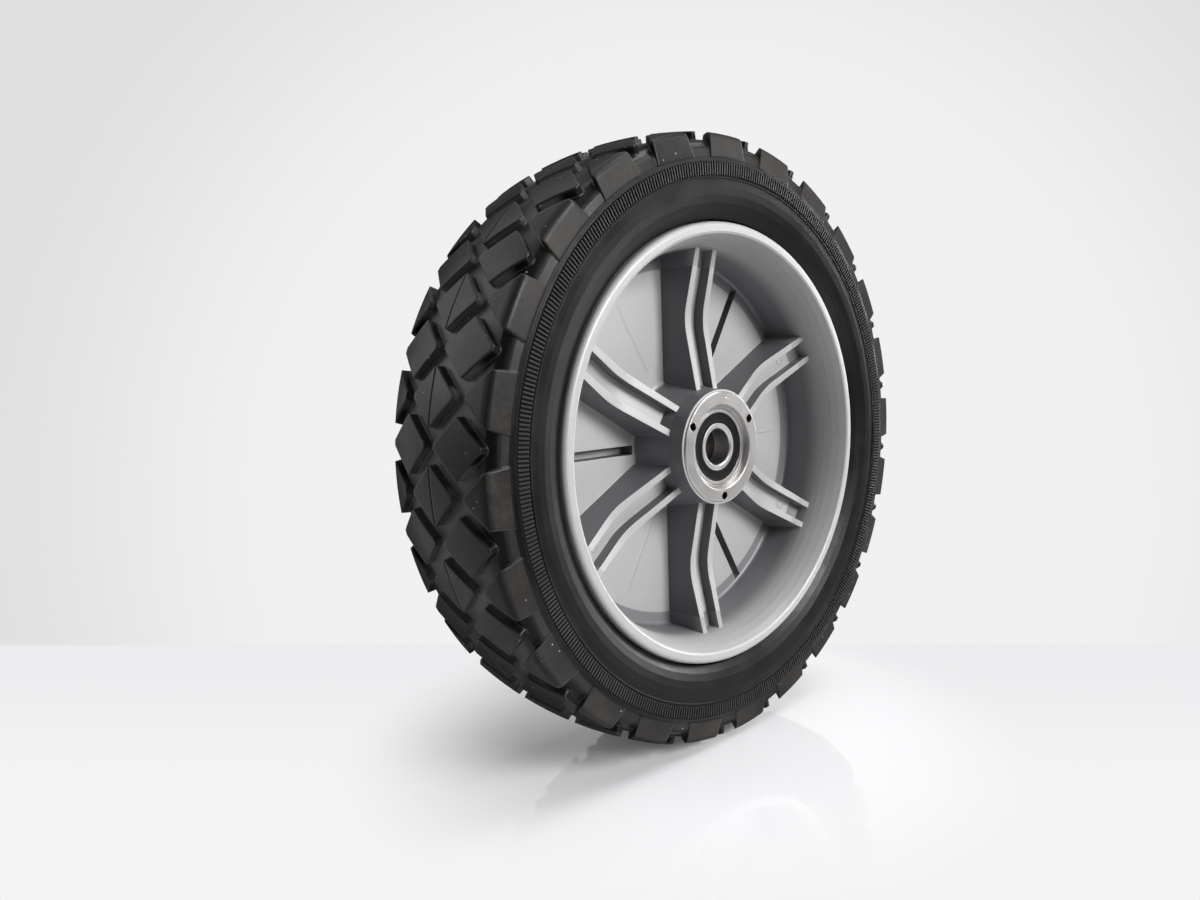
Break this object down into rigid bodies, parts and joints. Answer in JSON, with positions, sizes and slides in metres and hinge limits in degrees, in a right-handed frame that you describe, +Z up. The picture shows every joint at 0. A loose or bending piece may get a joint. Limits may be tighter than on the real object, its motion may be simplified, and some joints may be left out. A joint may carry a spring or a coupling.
{
  "type": "flat-free wheel",
  "caption": "Solid foam tyre with a diamond block tread on a moulded spoked rim, with a metal hub sleeve and sealed ball bearings for a plain axle.",
  "frame": {"origin": "centre of the wheel, on the spin axis at the middle of the tyre's width", "axes": "+Y along the spin axis, away from the outer side with the tapped holes; +Z up when the wheel stands on its tread; +X to the right seen from the outer side"},
  "size_m": [0.245, 0.0572, 0.245],
  "materials": {
    "tyre_foam": "matt black polyurethane foam with a moulded skin",
    "rim_plastic": "silver-grey moulded plastic with a satin surface",
    "sleeve_aluminium": "turned, bright",
    "tube_steel": "cut tube, plain",
    "bearing_steel": "ground, bright",
    "ball_steel": "polished",
    "cage_steel": "pressed sheet, plain",
    "seal_rubber": "satin black moulded rubber"
  },
  "bodies": {
    "axle_side": {"spacer_tube": "tube_steel", "front_inner_ring": "bearing_steel", "rear_inner_ring": "bearing_steel"},
    "wheel": {"tyre": "tyre_foam", "rim": "rim_plastic", "hub_sleeve": "sleeve_aluminium", "front_outer_ring": "bearing_steel", "front_seal_outer": "seal_rubber", "front_seal_inner": "seal_rubber", "rear_outer_ring": "bearing_steel", "rear_seal_outer": "seal_rubber", "rear_seal_inner": "seal_rubber"},
    "front_cage": {"front_balls": "ball_steel", "front_cage_outer": "cage_steel", "front_cage_inner": "cage_steel", "front_cage_rivets": "cage_steel"},
    "rear_cage": {"rear_balls": "ball_steel", "rear_cage_outer": "cage_steel", "rear_cage_inner": "cage_steel", "rear_cage_rivets": "cage_steel"}
  },
  "joints": [
    {"name": "wheel_spin", "type": "hinge", "parent": "axle_side", "child": "wheel", "pos_m": [0, 0, 0], "axis": [0, 1, 0], "continuous": true},
    {"name": "front_cage_spin", "type": "hinge", "parent": "axle_side", "child": "front_cage", "pos_m": [0, -0.012, 0], "axis": [0, 1, 0], "continuous": true},
    {"name": "rear_cage_spin", "type": "hinge", "parent": "axle_side", "child": "rear_cage", "pos_m": [0, 0.012, 0], "axis": [0, 1, 0], "continuous": true}
  ],
  "couplings": [
    {"joint": "front_cage_spin", "follows": "wheel_spin", "ratio": 0.6013},
    {"joint": "rear_cage_spin", "follows": "wheel_spin", "ratio": 0.6013}
  ]
}
